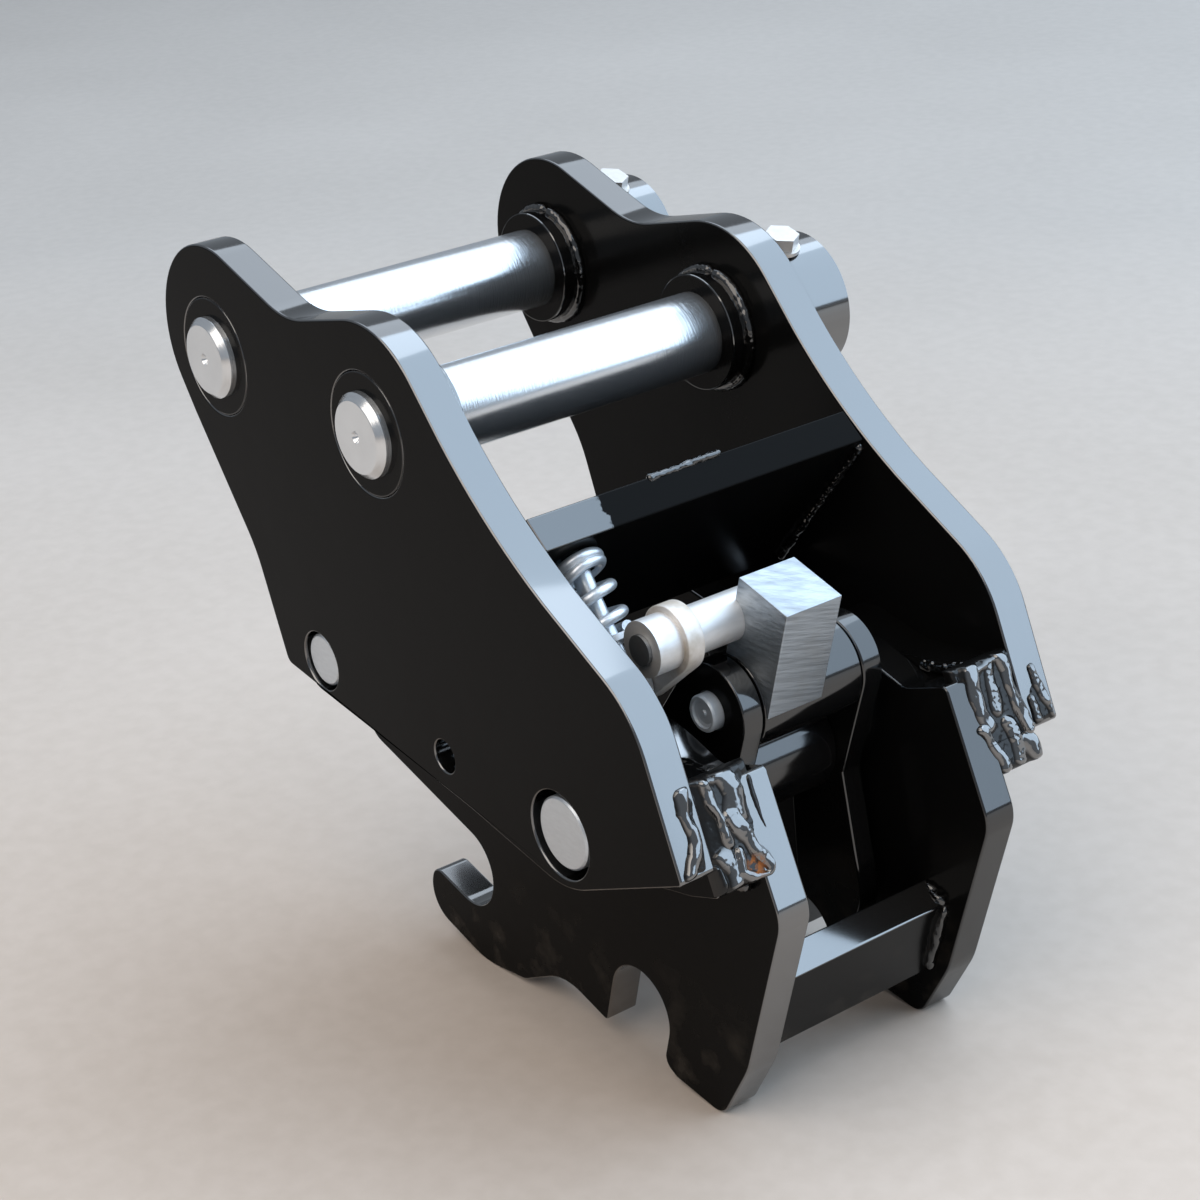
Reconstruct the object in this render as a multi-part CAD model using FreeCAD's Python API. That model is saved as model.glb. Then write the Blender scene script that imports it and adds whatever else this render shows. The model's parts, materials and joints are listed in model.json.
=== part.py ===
"""Quick hitch for a small excavator: welded frame, sprung latch, lever and carrying pins.

The side outline is drawn in the plate frame: x to the rear, z up, the latch pivot at 0, 0.
Every piece is then turned and lifted together, so that the hitch stands on its two hooks
and its two rear legs, as it would on a floor.
"""
import FreeCAD, Part
import math
import os

V = FreeCAD.Vector

# Widths, measured from the middle plane
SIDE_PLATE_T = 16.0
SIDE_GAP = 158.0
HOOK_PLATE_T = 15.0
HOOK_GAP = 90.0
OVERCUT = 1.0
SIDE_INNER = SIDE_GAP / 2
SIDE_OUTER = SIDE_INNER + SIDE_PLATE_T
HOOK_INNER = HOOK_GAP / 2
HOOK_OUTER = HOOK_INNER + HOOK_PLATE_T

# Carrying pins: the arm pin in front, the link pin behind it
CARRY_PIN_R = 17.5
PIN_SPACING = 116.7
PIN_LINE_DEG = 13.8
LINK_AXIS = (-142.3, 97.0)
PIN_PROUD = 5.0
PIN_SHORT = 1.0
PIN_CHAMFER = 3.0
CENTRE_DRILL_R = 2.6
RUNNING_GAP = 0.05

# Bushes and bosses that hold the carrying pins
NEAR_BUSH_R = 25.4
NEAR_BUSH_PROUD = 14.0
INNER_BOSS_R = 25.0
INNER_BOSS_T = 10.0
OUTER_BOSS_R = 30.0
OUTER_BOSS_T = 34.0
KEEPER_OFFSET = 15.0
KEEPER_SHANK_R = 4.0
KEEPER_HEAD_R = 7.5
KEEPER_HEAD_T = 5.5
KEEPER_WASHER_R = 8.5
KEEPER_WASHER_T = 1.6

# Side plate outline, corners as (x, z, rounding radius)
FRONT_LOBE_R = 42.0
FRONT_LOBE_RISE = 6.5
FRONT_TOP_DEG = -3.0
LINK_LOBE_R = 45.5
SADDLE_DEG = 29.0
SADDLE_R = 45.0
NECK_DEG = -33.0
BACK_DEG = -12.4
BACK_POINT = (0.0, 86.3)
NECK_R = 260.0
SHOULDER = (28.7, 80.0, 48.0)
REAR_FOOT = (68.5, 28.7, 2.0)
BELLY_CORNER = (8.3, -22.4, 40.0)
BELLY_KNEE = (-54.0, -28.5, 60.0)
FRONT_FOOT = (-189.5, -48.0, 5.0)
FRONT_BELLY = (-219.0, -7.0, 60.0)
WAIST_DEG = -110.0
WAIST_OUT = 2.9
WAIST_R = 20.0

# Seats for the two bucket pins
BUCKET_PIN_R = 17.5
SEAT_GAP = 0.4
JAW_AXIS = (22.0, -91.5)
SEAT_SPACING = 119.5
SEAT_LINE_DEG = 8.1

# Pins across the frame
PIVOT_R = 15.0
PIVOT_RECESS = 1.5
PIVOT_HOLE_R = 18.0
TIE_AXIS = (-164.8, -30.6)
TIE_R = 11.4
TIE_HOLE_R = 12.9
TIE_SPACER_R = 20.0
SAFETY_AXIS = (-74.7, -16.5)
SAFETY_R = 7.0
FIT_GAP = 0.1

# Cross plates
FRONT_CROSS_T = 15.2
FRONT_CROSS_TOP = (-46.0, 97.0)
FRONT_CROSS_DEG = -23.0
FRONT_CROSS_H = 88.0
REAR_CROSS_BACK = 76.0
REAR_CROSS_T = 13.0
REAR_CROSS_TOP = -41.0
REAR_CROSS_H = 36.0

# Latch
LATCH_PLATE_T = 10.0
LATCH_OUTER = 35.0
LATCH_HUB_R = 22.0
LATCH_BOSS_R = 26.0
EAR_AXIS = (8.0, 42.0)
EAR_R = 19.5
EAR_PIN_R = 7.5
EAR_PIN_PROUD = 4.5
EAR_PIN_CHAMFER = 1.5
EAR_DRILL_R = 1.8
CLAW_WALL = 6.0
CLAW_GAP = 0.4
CLAW_BACK = (50.0, -50.0, 20.0)
CLAW_START_DEG = 2.0
CLAW_END_DEG = -58.0

# Lever
LEVER_HUB_R = 19.5
LEVER_END_GAP = 0.5
BLOCK_LEFT = -24.0
BLOCK_W = 27.0
BLOCK_FRONT = 0.0
BLOCK_BACK = 27.5
BLOCK_TOP = 95.5
BLOCK_H = 48.5
SHAFT_AXIS = (-2.0, 76.0)
SHAFT_R = 9.5
JOURNAL_R = 11.0
JOURNAL_END = -65.0
COLLAR_R = 13.5
ARM_T = 8.0
ARM_EYE_R = 8.0
ARM_GAP = 0.5
ROD_PIN_R = 5.0
ROD_PIN_PROUD = 1.5
COLLAR_LIP = 3.0
SCREW_R = 6.0
SCREW_DEPTH = 5.0
SCREW_PROUD = 1.5

# Spring rod and spring
ROD_EYE_AXIS = (-13.0, 49.3)
ROD_DEG = 141.5
ROD_R = 3.9
ROD_EYE_R = 9.5
ROD_EYE_T = 8.0
ROD_LEN = 58.0
CUP_START = 16.0
CUP_T = 2.5
CUP_R = 12.0
WIRE_R = 2.3
SPRING_R = 9.7
SPRING_TURNS = 3.0
SPRING_LEN = 28.4
SEAT_BORE_R = 6.4

PIN_DIR = (math.cos(math.radians(PIN_LINE_DEG)), math.sin(math.radians(PIN_LINE_DEG)))
ARM_AXIS = (LINK_AXIS[0] - PIN_SPACING * PIN_DIR[0], LINK_AXIS[1] - PIN_SPACING * PIN_DIR[1])
SEAT_DIR = (math.cos(math.radians(SEAT_LINE_DEG)), math.sin(math.radians(SEAT_LINE_DEG)))
HOOK_AXIS = (JAW_AXIS[0] - SEAT_SPACING * SEAT_DIR[0], JAW_AXIS[1] - SEAT_SPACING * SEAT_DIR[1])
SEAT_R = BUCKET_PIN_R + SEAT_GAP

# Hook plate outline, corners as (x, z, rounding radius)
HOOK_TOE = (-190.0, -20.0, 18.0)
HOOK_BROW = (-165.0, -7.0, 12.0)
HOOK_SPINE = (-70.0, 4.0, 30.0)
CROWN_FOOT = (-30.0, 21.0, 12.0)
CROWN_FRONT = (0.0, 36.5, 12.0)
CROWN_BACK = (30.0, 36.5, 12.0)
LEG_SHOULDER = (50.5, 51.5, 3.0)
LEG_HIP = (86.8, 8.0, 16.0)
LEG_BACK = (85.0, -70.0, 40.0)
LEG_SOLE = (77.0, -102.5, 9.0)
LEG_TOE = (48.5, -107.0, 4.0)
JAW_LEAD = 4.0
JAW_LEAD_R = 6.0
BRIDGE_DROP = 5.2
BRIDGE_FRONT_R = 2.0
BRIDGE_R = 30.0

# Corners that keep their place from the hook seat, as (x, z, rounding radius)
BRIDGE_X = 70.3
HOOK_HEEL = (46.3, -29.2, 10.0)
HOOK_SOLE = (19.3, -41.3, 42.0)
HOOK_LIP = (-25.7, -41.3, 14.5)
MOUTH_X = -23.7
MOUTH_DROP = 1.2
MOUTH_R = 6.0
ROOF_LEN = 79.7
ROOF_R = 12.0

# Spacer outline, corners as (x, z, rounding radius)
SPACER_CORNERS = (
    (-48.0, -24.0, 6.0),
    (-30.0, 30.0, 18.0),
    (8.0, 34.0, 18.0),
    (46.0, 51.0, 4.0),
    (71.0, 31.0, 6.0),
    (72.0, 18.0, 4.0),
    (58.0, 8.0, 10.0),
    (8.0, -19.0, 30.0),
)


# %% Outlines in the plate frame
def step(point, angle_deg, length):
    """The point a length away in a direction of the side view."""
    angle = math.radians(angle_deg)
    return (point[0] + length * math.cos(angle), point[1] + length * math.sin(angle))


def crossing(p, p_deg, q, q_deg):
    """Where two lines of the side view meet."""
    a = math.radians(p_deg)
    b = math.radians(q_deg)
    det = math.cos(a) * math.sin(b) - math.sin(a) * math.cos(b)
    along = ((q[0] - p[0]) * math.sin(b) - (q[1] - p[1]) * math.cos(b)) / det
    return (p[0] + along * math.cos(a), p[1] + along * math.sin(a))


def lobe_corner(centre, radius, in_deg, out_deg):
    """The corner whose rounding is a given circle, for an outline run clockwise."""
    a = math.radians(in_deg)
    b = math.radians(out_deg)
    nx = -math.sin(a) - math.sin(b)
    nz = math.cos(a) + math.cos(b)
    reach = radius / (1 + math.cos(a - b))
    return (centre[0] + nx * reach, centre[1] + nz * reach, radius)


def tangent_deg(point, centre, radius):
    """Direction from a point along the side of a circle, the circle on the right."""
    dx = centre[0] - point[0]
    dz = centre[1] - point[1]
    return math.degrees(math.atan2(dz, dx) + math.asin(radius / math.hypot(dx, dz)))


def outline(corners):
    """A closed wire through corners (x, z, rounding radius) in the side view."""
    starts = []
    ends = []
    mids = []
    for i, (x, z, radius) in enumerate(corners):
        here = V(x, 0, z)
        before = V(corners[i - 1][0], 0, corners[i - 1][1]) - here
        following = corners[(i + 1) % len(corners)]
        after = V(following[0], 0, following[1]) - here
        before.normalize()
        after.normalize()
        half = before.getAngle(after) / 2
        cut = radius / math.tan(half)
        inward = before + after
        inward.normalize()
        starts.append(here + before * cut)
        ends.append(here + after * cut)
        mids.append(here + inward * (radius / math.sin(half) - radius))
    edges = []
    for i, corner in enumerate(corners):
        if corner[2] > 0:
            edges.append(Part.Arc(starts[i], mids[i], ends[i]).toShape())
        target = starts[(i + 1) % len(corners)]
        if ends[i].distanceToPoint(target) > 1e-4:
            edges.append(Part.makeLine(ends[i], target))
    return Part.Wire(edges)


def plate(corners, y_from, thickness):
    """A flat plate cut to an outline, its near face at y_from."""
    blank = Part.Face(outline(corners)).extrude(V(0, thickness, 0))
    blank.translate(V(0, y_from, 0))
    return blank


def rod(axis, radius, y_from, y_to):
    """A round bar across the hitch."""
    return Part.makeCylinder(radius, y_to - y_from, V(axis[0], y_from, axis[1]), V(0, 1, 0))


def chamfered(bar, axis, radius, size):
    """The same bar with the rims of both ends bevelled."""
    rims = []
    for edge in bar.Edges:
        round_edge = isinstance(edge.Curve, Part.Circle) and abs(edge.Curve.Radius - radius) < 1e-6
        if round_edge and edge.isClosed():
            rims.append(edge)
    return bar.makeChamfer(size, rims)


def mirrored(shape):
    """The same piece on the far side."""
    return shape.mirror(V(0, 0, 0), V(0, 1, 0))


def hull(centre_a, radius_a, centre_b, radius_b, y_from, thickness):
    """A link plate around two circles."""
    dx = centre_b[0] - centre_a[0]
    dz = centre_b[1] - centre_a[1]
    gap = math.hypot(dx, dz)
    lean = math.degrees(math.atan2(dz, dx))
    open_deg = math.degrees(math.acos((radius_a - radius_b) / gap))
    a_up = step(centre_a, lean + open_deg, radius_a)
    a_down = step(centre_a, lean - open_deg, radius_a)
    b_up = step(centre_b, lean + open_deg, radius_b)
    b_down = step(centre_b, lean - open_deg, radius_b)
    a_back = step(centre_a, lean + 180, radius_a)
    b_back = step(centre_b, lean, radius_b)
    at = lambda p: V(p[0], y_from, p[1])
    edges = [
        Part.Arc(at(a_up), at(a_back), at(a_down)).toShape(),
        Part.makeLine(at(a_down), at(b_down)),
        Part.Arc(at(b_down), at(b_back), at(b_up)).toShape(),
        Part.makeLine(at(b_up), at(a_up)),
    ]
    return Part.Face(Part.Wire(edges)).extrude(V(0, thickness, 0))


# %% Side plates
def side_outline():
    """Two lobes for the carrying pins, a long neck and a rounded shoulder."""
    arm_lobe = step(ARM_AXIS, 90, FRONT_LOBE_RISE)
    waist = step(arm_lobe, WAIST_DEG, FRONT_LOBE_R + WAIST_OUT)
    front_deg = tangent_deg(waist, arm_lobe, FRONT_LOBE_R)
    lobe_top = step(arm_lobe, 90 + FRONT_TOP_DEG, FRONT_LOBE_R)
    link_in = step(LINK_AXIS, 90 + SADDLE_DEG, LINK_LOBE_R)
    link_out = step(LINK_AXIS, 90 + NECK_DEG, LINK_LOBE_R)
    saddle = crossing(lobe_top, FRONT_TOP_DEG, link_in, SADDLE_DEG)
    neck = crossing(link_out, NECK_DEG, BACK_POINT, BACK_DEG)
    return [
        FRONT_FOOT,
        FRONT_BELLY,
        waist + (WAIST_R,),
        lobe_corner(arm_lobe, FRONT_LOBE_R, front_deg, FRONT_TOP_DEG),
        saddle + (SADDLE_R,),
        lobe_corner(LINK_AXIS, LINK_LOBE_R, SADDLE_DEG, NECK_DEG),
        neck + (NECK_R,),
        SHOULDER,
        REAR_FOOT,
        BELLY_CORNER,
        BELLY_KNEE,
    ]


side_blank = plate(side_outline(), SIDE_INNER, SIDE_PLATE_T)
for axis, radius in ((SAFETY_AXIS, SAFETY_R), (TIE_AXIS, TIE_HOLE_R), ((0, 0), PIVOT_HOLE_R)):
    side_blank = side_blank.cut(rod(axis, radius, SIDE_INNER - OVERCUT, SIDE_OUTER + OVERCUT))
side_far = side_blank
side_near = mirrored(side_blank)
for axis in (ARM_AXIS, LINK_AXIS):
    side_near = side_near.cut(rod(axis, NEAR_BUSH_R, -SIDE_OUTER - OVERCUT, -SIDE_INNER + OVERCUT))
    side_far = side_far.cut(rod(axis, CARRY_PIN_R + RUNNING_GAP, SIDE_INNER - OVERCUT, SIDE_OUTER + OVERCUT))


# %% Hook plates
def from_hook(corner):
    """A corner that is given from the centre of the hook seat."""
    return (HOOK_AXIS[0] + corner[0], HOOK_AXIS[1] + corner[1], corner[2])


def hook_outline():
    """Front hook open to the front, jaw open downwards, rear leg."""
    roof = HOOK_AXIS[1] + SEAT_R
    lip = HOOK_AXIS[1] - SEAT_R
    back = HOOK_AXIS[0] + SEAT_R
    jaw_front = JAW_AXIS[0] - SEAT_R
    jaw_top = JAW_AXIS[1] + SEAT_R
    jaw_bottom = JAW_AXIS[1] - SEAT_R
    jaw_back = JAW_AXIS[0] + SEAT_R
    bridge = jaw_bottom - BRIDGE_DROP
    return [
        HOOK_TOE,
        HOOK_BROW,
        HOOK_SPINE,
        CROWN_FOOT,
        CROWN_FRONT,
        CROWN_BACK,
        LEG_SHOULDER,
        LEG_HIP,
        LEG_BACK,
        LEG_SOLE,
        LEG_TOE,
        (jaw_back, jaw_bottom + JAW_LEAD, JAW_LEAD_R),
        (jaw_back, jaw_top, SEAT_R),
        (jaw_front, jaw_top, SEAT_R),
        (jaw_front, bridge, BRIDGE_FRONT_R),
        (HOOK_AXIS[0] + BRIDGE_X, bridge, BRIDGE_R),
        from_hook(HOOK_HEEL),
        from_hook(HOOK_SOLE),
        from_hook(HOOK_LIP),
        (HOOK_AXIS[0] + MOUTH_X, lip - MOUTH_DROP, MOUTH_R),
        (back, lip, SEAT_R),
        (back, roof, SEAT_R),
        (HOOK_AXIS[0] - ROOF_LEN, roof, ROOF_R),
    ]


hook_far = plate(hook_outline(), HOOK_INNER, HOOK_PLATE_T)
for axis, radius in (((0, 0), PIVOT_R), (TIE_AXIS, TIE_R), (SAFETY_AXIS, SAFETY_R - FIT_GAP)):
    hook_far = hook_far.cut(rod(axis, radius + FIT_GAP, HOOK_INNER - OVERCUT, HOOK_OUTER + OVERCUT))
hook_near = mirrored(hook_far)

# Spacer plates carry the side plates outside the hook plates
spacer_far = plate(SPACER_CORNERS, HOOK_OUTER, SIDE_INNER - HOOK_OUTER)
spacer_far = spacer_far.cut(rod((0, 0), PIVOT_R + FIT_GAP, HOOK_OUTER - OVERCUT, SIDE_INNER + OVERCUT))
spacer_near = mirrored(spacer_far)
tie_spacer_far = rod(TIE_AXIS, TIE_SPACER_R, HOOK_OUTER, SIDE_INNER)
tie_spacer_far = tie_spacer_far.cut(rod(TIE_AXIS, TIE_R + FIT_GAP, HOOK_OUTER - OVERCUT, SIDE_INNER + OVERCUT))
tie_spacer_near = mirrored(tie_spacer_far)

# %% Cross plates
cross_run = FRONT_CROSS_DEG + 180
cross_front_top = step(FRONT_CROSS_TOP, cross_run, FRONT_CROSS_T)
cross_front_foot = step(cross_front_top, cross_run + 90, FRONT_CROSS_H)
cross_back_foot = step(FRONT_CROSS_TOP, cross_run + 90, FRONT_CROSS_H)
front_cross = plate(
    [cross_front_top + (0,), FRONT_CROSS_TOP + (0,), cross_back_foot + (0,), cross_front_foot + (0,)],
    -SIDE_INNER,
    SIDE_GAP,
)
rear_cross = Part.makeBox(
    REAR_CROSS_T,
    HOOK_GAP,
    REAR_CROSS_H,
    V(REAR_CROSS_BACK - REAR_CROSS_T, -HOOK_INNER, REAR_CROSS_TOP - REAR_CROSS_H),
)

# %% Carrying pins with their bushes, bosses and keepers
far_end = SIDE_OUTER + OUTER_BOSS_T


def carrying_pin(axis):
    """A pin with bevelled, centre drilled ends and a cross hole for its keeper."""
    pin = rod(axis, CARRY_PIN_R, -SIDE_OUTER - PIN_PROUD, far_end - PIN_SHORT)
    pin = chamfered(pin, axis, CARRY_PIN_R, PIN_CHAMFER)
    pin = pin.cut(rod(axis, CENTRE_DRILL_R, -SIDE_OUTER - PIN_PROUD - OVERCUT, -SIDE_OUTER))
    return pin.cut(keeper_hole(axis))


def keeper_hole(axis):
    """The radial hole through boss and pin."""
    foot = V(axis[0], SIDE_OUTER + KEEPER_OFFSET, axis[1] - OUTER_BOSS_R - OVERCUT)
    return Part.makeCylinder(KEEPER_SHANK_R + FIT_GAP, 2 * (OUTER_BOSS_R + OVERCUT), foot, V(0, 0, 1))


def near_bush(axis):
    """Bush let flush into the near plate, standing proud inside it."""
    bush = rod(axis, NEAR_BUSH_R - FIT_GAP, -SIDE_OUTER, -SIDE_INNER + NEAR_BUSH_PROUD)
    return bush.cut(rod(axis, CARRY_PIN_R + RUNNING_GAP, -SIDE_OUTER - OVERCUT, 0))


def inner_boss(axis):
    """Ring welded inside the far plate."""
    boss = rod(axis, INNER_BOSS_R, SIDE_INNER - INNER_BOSS_T, SIDE_INNER)
    return boss.cut(rod(axis, CARRY_PIN_R + RUNNING_GAP, 0, SIDE_INNER + OVERCUT))


def outer_boss(axis):
    """Long boss outside the far plate, drilled across for the keeper."""
    boss = rod(axis, OUTER_BOSS_R, SIDE_OUTER, far_end)
    boss = boss.cut(rod(axis, CARRY_PIN_R + RUNNING_GAP, SIDE_OUTER - OVERCUT, far_end + OVERCUT))
    return boss.cut(keeper_hole(axis))


def keeper(axis):
    """Hexagon bolt and nut through boss and pin."""
    y = SIDE_OUTER + KEEPER_OFFSET
    top = axis[1] + OUTER_BOSS_R
    bottom = axis[1] - OUTER_BOSS_R
    nut_foot = bottom - KEEPER_HEAD_T
    shank = Part.makeCylinder(
        KEEPER_SHANK_R, top - nut_foot, V(axis[0], y, nut_foot), V(0, 0, 1)
    )
    body = shank
    for foot in (top + KEEPER_WASHER_T, nut_foot):
        ring = [
            V(
                axis[0] + KEEPER_HEAD_R * math.cos(math.radians(60 * i)),
                y + KEEPER_HEAD_R * math.sin(math.radians(60 * i)),
                foot,
            )
            for i in range(7)
        ]
        body = body.fuse(Part.Face(Part.makePolygon(ring)).extrude(V(0, 0, KEEPER_HEAD_T)))
    washer = Part.makeCylinder(KEEPER_WASHER_R, KEEPER_WASHER_T, V(axis[0], y, top), V(0, 0, 1))
    return body.fuse(washer).removeSplitter()


# %% Pins across the frame
pivot_pin = rod((0, 0), PIVOT_R, -SIDE_OUTER + PIVOT_RECESS, SIDE_OUTER - PIVOT_RECESS)
tie_pin = rod(TIE_AXIS, TIE_R, -SIDE_OUTER + PIVOT_RECESS, SIDE_OUTER - PIVOT_RECESS)

# %% Latch: two plates on one hub, with the lever pin across their ears
latch_inner = LATCH_OUTER - LATCH_PLATE_T


def latch_plate():
    """Ear above the pivot, round boss at it and a claw that closes the jaw."""
    upper = hull((0, 0), LATCH_BOSS_R, EAR_AXIS, EAR_R, latch_inner, LATCH_PLATE_T)
    claw_r = SEAT_R + CLAW_GAP
    rim_r = claw_r + CLAW_WALL
    shank = plate(
        [
            (LATCH_BOSS_R - OVERCUT, 0, 0),
            CLAW_BACK,
            (JAW_AXIS[0] + rim_r, JAW_AXIS[1], 0),
            (JAW_AXIS[0], JAW_AXIS[1], 0),
            (0, -LATCH_BOSS_R + OVERCUT, 0),
        ],
        latch_inner,
        LATCH_PLATE_T,
    )
    tip = rod(JAW_AXIS, rim_r, latch_inner, LATCH_OUTER)
    wedge = plate(
        [
            (JAW_AXIS[0], JAW_AXIS[1], 0),
            step(JAW_AXIS, CLAW_START_DEG, 3 * rim_r) + (0,),
            step(JAW_AXIS, (CLAW_START_DEG + CLAW_END_DEG) / 2, 3 * rim_r) + (0,),
            step(JAW_AXIS, CLAW_END_DEG, 3 * rim_r) + (0,),
        ],
        latch_inner,
        LATCH_PLATE_T,
    )
    body = upper.fuse([shank, tip.common(wedge)]).cut(rod(JAW_AXIS, claw_r, 0, LATCH_OUTER + OVERCUT))
    body = body.cut(rod((0, 0), PIVOT_R + RUNNING_GAP, 0, LATCH_OUTER + OVERCUT))
    return body.cut(rod(EAR_AXIS, EAR_PIN_R + FIT_GAP, 0, LATCH_OUTER + OVERCUT)).removeSplitter()


latch_far = latch_plate()
latch_near = mirrored(latch_far)
latch_hub = rod((0, 0), LATCH_HUB_R, -latch_inner, latch_inner)
latch_hub = latch_hub.cut(rod((0, 0), PIVOT_R + RUNNING_GAP, -LATCH_OUTER, LATCH_OUTER))
ear_pin_end = LATCH_OUTER + EAR_PIN_PROUD
ear_pin = chamfered(rod(EAR_AXIS, EAR_PIN_R, -ear_pin_end, ear_pin_end), EAR_AXIS, EAR_PIN_R, EAR_PIN_CHAMFER)
ear_pin = ear_pin.cut(rod(EAR_AXIS, EAR_DRILL_R, -ear_pin_end - OVERCUT, -LATCH_OUTER))

# %% Lever: hub on the ear pin, block, cross shaft and crank arm
hub_end = latch_inner - LEVER_END_GAP
lever_hub = rod(EAR_AXIS, LEVER_HUB_R, -hub_end, hub_end)
lever_hub = lever_hub.cut(rod(EAR_AXIS, EAR_PIN_R + RUNNING_GAP, -LATCH_OUTER, LATCH_OUTER))
shaft_end = BLOCK_LEFT + BLOCK_W
arm_near = JOURNAL_END + ROD_EYE_T + COLLAR_LIP
cross_shaft = rod(SHAFT_AXIS, SHAFT_R, arm_near, shaft_end)
cross_shaft = cross_shaft.fuse(rod(SHAFT_AXIS, JOURNAL_R, JOURNAL_END, arm_near)).removeSplitter()
screw_foot = JOURNAL_END + SCREW_DEPTH
cross_shaft = cross_shaft.cut(rod(SHAFT_AXIS, SCREW_R + FIT_GAP, JOURNAL_END - OVERCUT, screw_foot))
end_screw = rod(SHAFT_AXIS, SCREW_R, JOURNAL_END - SCREW_PROUD, screw_foot)
block = Part.makeBox(
    BLOCK_BACK - BLOCK_FRONT, BLOCK_W, BLOCK_H, V(BLOCK_FRONT, BLOCK_LEFT, BLOCK_TOP - BLOCK_H)
)
block = block.cut([rod(EAR_AXIS, LEVER_HUB_R, -hub_end, hub_end), cross_shaft])

crank_arm = hull(SHAFT_AXIS, COLLAR_R, ROD_EYE_AXIS, ARM_EYE_R, arm_near, ARM_T)
crank_arm = crank_arm.cut(rod(SHAFT_AXIS, SHAFT_R + FIT_GAP, -SIDE_INNER, 0))
crank_arm = crank_arm.cut(rod(ROD_EYE_AXIS, ROD_PIN_R + FIT_GAP, -SIDE_INNER, 0))
eye_near = arm_near - ARM_GAP - ROD_EYE_T
rod_pin = rod(ROD_EYE_AXIS, ROD_PIN_R, eye_near - ROD_PIN_PROUD, arm_near + ARM_T)

# %% Spring rod, spring and seat
rod_y = eye_near + ROD_EYE_T / 2
rod_dir = V(math.cos(math.radians(ROD_DEG)), 0, math.sin(math.radians(ROD_DEG)))
eye_centre = V(ROD_EYE_AXIS[0], rod_y, ROD_EYE_AXIS[1])


def on_rod(radius, start, length):
    """A cylinder around the spring rod, measured from its eye."""
    return Part.makeCylinder(radius, length, eye_centre + rod_dir * start, rod_dir)


spring_rod = rod(ROD_EYE_AXIS, ROD_EYE_R, eye_near, eye_near + ROD_EYE_T)
spring_rod = spring_rod.fuse(on_rod(ROD_R, ROD_EYE_R / 2, ROD_LEN - ROD_EYE_R / 2)).removeSplitter()
spring_rod = spring_rod.cut(rod(ROD_EYE_AXIS, ROD_PIN_R + RUNNING_GAP, -SIDE_INNER, 0))
spring_cup = on_rod(CUP_R, CUP_START, CUP_T).cut(on_rod(ROD_R + FIT_GAP, 0, ROD_LEN))
seat_start = CUP_START + CUP_T + SPRING_LEN
front_space = Part.makeBox(
    FRONT_CROSS_H, SIDE_GAP, 2 * FRONT_CROSS_H, V(-FRONT_CROSS_H, -SIDE_INNER, -FRONT_CROSS_H)
)
front_space.rotate(V(0, 0, 0), V(0, 1, 0), -FRONT_CROSS_DEG)
front_space.translate(V(FRONT_CROSS_TOP[0], 0, FRONT_CROSS_TOP[1]))
seat_bore = on_rod(SEAT_BORE_R, 0, seat_start + 3 * CUP_R)
spring_seat = on_rod(CUP_R, seat_start, 2 * CUP_R).cut([front_space, seat_bore])
front_cross = front_cross.cut(seat_bore)


def coil():
    """Round wire spring between cup and seat, its length along the rod."""
    length = SPRING_LEN - 2 * WIRE_R
    pitch = length / SPRING_TURNS
    helix = Part.makeHelix(pitch, length, SPRING_R)
    section = Part.Wire(Part.makeCircle(WIRE_R, V(SPRING_R, 0, 0), V(0, 1, 0)))
    wire = Part.Wire(helix).makePipeShell([section], True, True)
    turn = FreeCAD.Rotation(V(0, 0, 1), rod_dir)
    start = eye_centre + rod_dir * (CUP_START + CUP_T + WIRE_R)
    wire.Placement = FreeCAD.Placement(start, turn)
    return wire


export = {
    "side_plate_near": side_near,
    "side_plate_far": side_far,
    "hook_plate_near": hook_near,
    "hook_plate_far": hook_far,
    "spacer_near": spacer_near,
    "spacer_far": spacer_far,
    "tie_spacer_near": tie_spacer_near,
    "tie_spacer_far": tie_spacer_far,
    "front_cross_plate": front_cross,
    "rear_cross_plate": rear_cross,
    "arm_pin": carrying_pin(ARM_AXIS),
    "link_pin": carrying_pin(LINK_AXIS),
    "arm_bush_near": near_bush(ARM_AXIS),
    "link_bush_near": near_bush(LINK_AXIS),
    "arm_boss_inner": inner_boss(ARM_AXIS),
    "link_boss_inner": inner_boss(LINK_AXIS),
    "arm_boss_outer": outer_boss(ARM_AXIS),
    "link_boss_outer": outer_boss(LINK_AXIS),
    "arm_pin_keeper": keeper(ARM_AXIS),
    "link_pin_keeper": keeper(LINK_AXIS),
    "latch_pivot_pin": pivot_pin,
    "tie_pin": tie_pin,
    "latch_plate_near": latch_near,
    "latch_plate_far": latch_far,
    "latch_hub": latch_hub,
    "ear_pin": ear_pin,
    "lever_hub": lever_hub,
    "lever_block": block,
    "cross_shaft": cross_shaft,
    "shaft_end_screw": end_screw,
    "crank_arm": crank_arm,
    "crank_rod_pin": rod_pin,
    "spring_rod": spring_rod,
    "spring_cup": spring_cup,
    "spring_seat": spring_seat,
    "latch_spring": coil(),
}


# %% Stand the hitch on its hooks and legs
def rounding_centre(corners, corner):
    """Centre of the circle that rounds a corner of an outline."""
    at = corners.index(corner)
    here = V(corner[0], 0, corner[1])
    before = V(corners[at - 1][0], 0, corners[at - 1][1]) - here
    after = V(corners[at + 1][0], 0, corners[at + 1][1]) - here
    before.normalize()
    after.normalize()
    inward = before + after
    inward.normalize()
    return here + inward * (corner[2] / math.sin(before.getAngle(after) / 2))


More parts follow.
